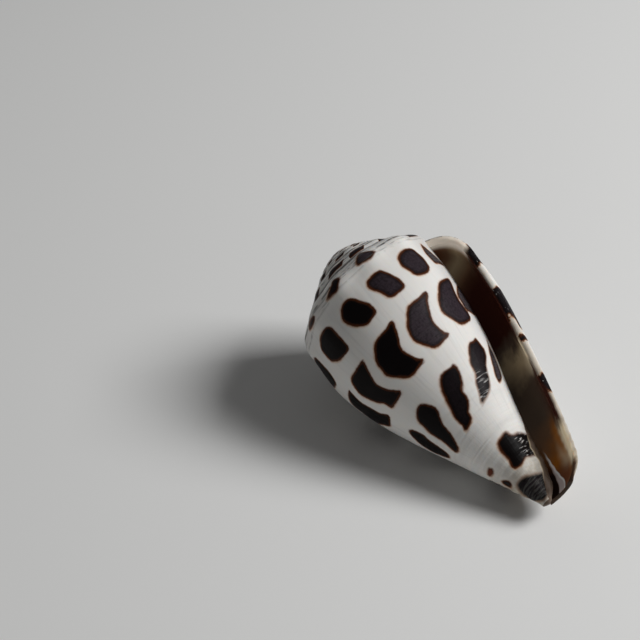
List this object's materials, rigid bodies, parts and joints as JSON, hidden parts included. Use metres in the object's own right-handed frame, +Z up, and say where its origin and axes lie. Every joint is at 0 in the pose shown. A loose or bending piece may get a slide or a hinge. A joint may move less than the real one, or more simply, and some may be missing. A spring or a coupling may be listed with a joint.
{
  "type": "cone shell",
  "caption": "Cone-shaped sea snail shell lying on its side, with a low stepped spire, a long narrow open aperture and a thin lip, white with rows of dark blotches.",
  "frame": {"origin": "on the surface it rests on, under the middle of its box", "axes": "+Z up from the surface, +X along the shell towards its narrow tip, with the spire towards -X"},
  "size_m": [0.0392, 0.0222, 0.0217],
  "materials": {
    "shell": "glossy white shell with near-black blotches edged in brown, and a brown and cream aperture"
  },
  "bodies": {
    "root": {"cone_shell": "shell"}
  },
  "joints": []
}
